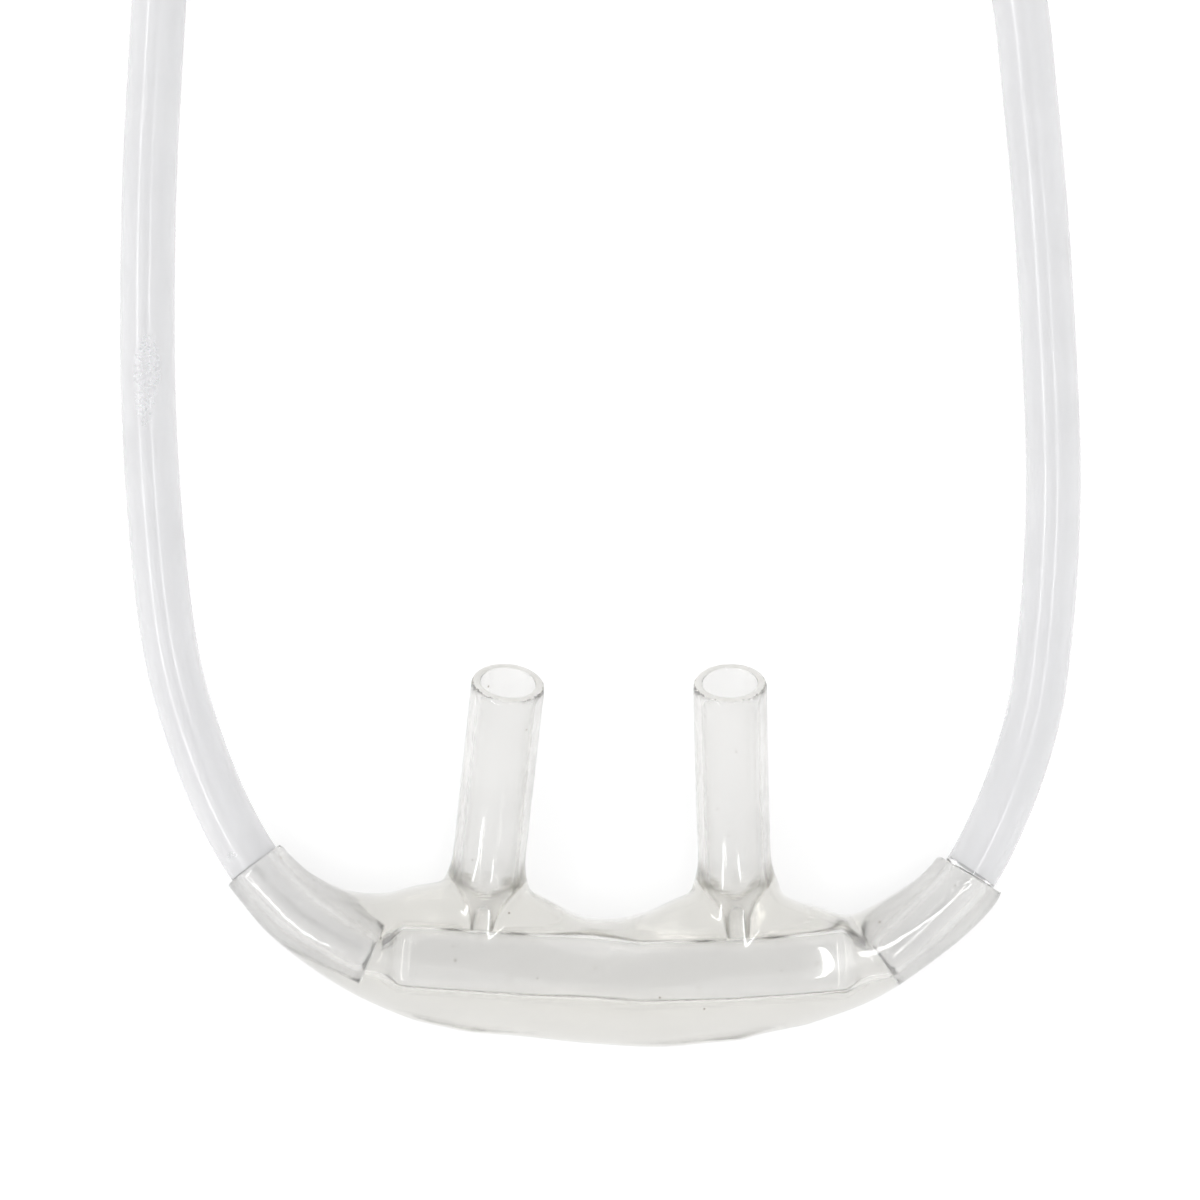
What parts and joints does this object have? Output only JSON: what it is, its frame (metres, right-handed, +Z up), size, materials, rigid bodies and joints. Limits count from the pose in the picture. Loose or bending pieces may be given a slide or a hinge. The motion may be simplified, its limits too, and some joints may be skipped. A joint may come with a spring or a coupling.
{
  "type": "nasal oxygen cannula",
  "caption": "Soft moulded nosepiece with curved prongs, clear ear tubes that are coiled for storage, a slider on the tubes and a Y connector with a supply inlet.",
  "frame": {"origin": "on the surface that the cannula lies on, under the middle of the nosepiece", "axes": "+X along the nosepiece from its left end to its right end, +Y from the lip towards the prongs' tips and the tubes, +Z up from the surface"},
  "size_m": [0.0668, 0.1783, 0.0126],
  "materials": {
    "nosepiece": "clear soft moulded PVC, slightly cream and milky, smooth and glossy",
    "tube": "clear extruded soft PVC tubing, faintly bluish, glossy with fine lengthwise draw lines",
    "fitting": "clear moulded PVC, glossy"
  },
  "bodies": {
    "cannula": {"nosepiece": "nosepiece", "ear_tube_left": "tube", "ear_tube_right": "tube", "ear_tube_coil": "tube", "ear_tube_left_end": "tube", "ear_tube_right_end": "tube", "y_connector": "fitting"},
    "slider": {"slider": "fitting"}
  },
  "joints": [
    {"name": "slider_slide", "type": "slide", "parent": "cannula", "child": "slider", "axis": [0, 1, 0], "range_m": [0, 0.01]}
  ]
}
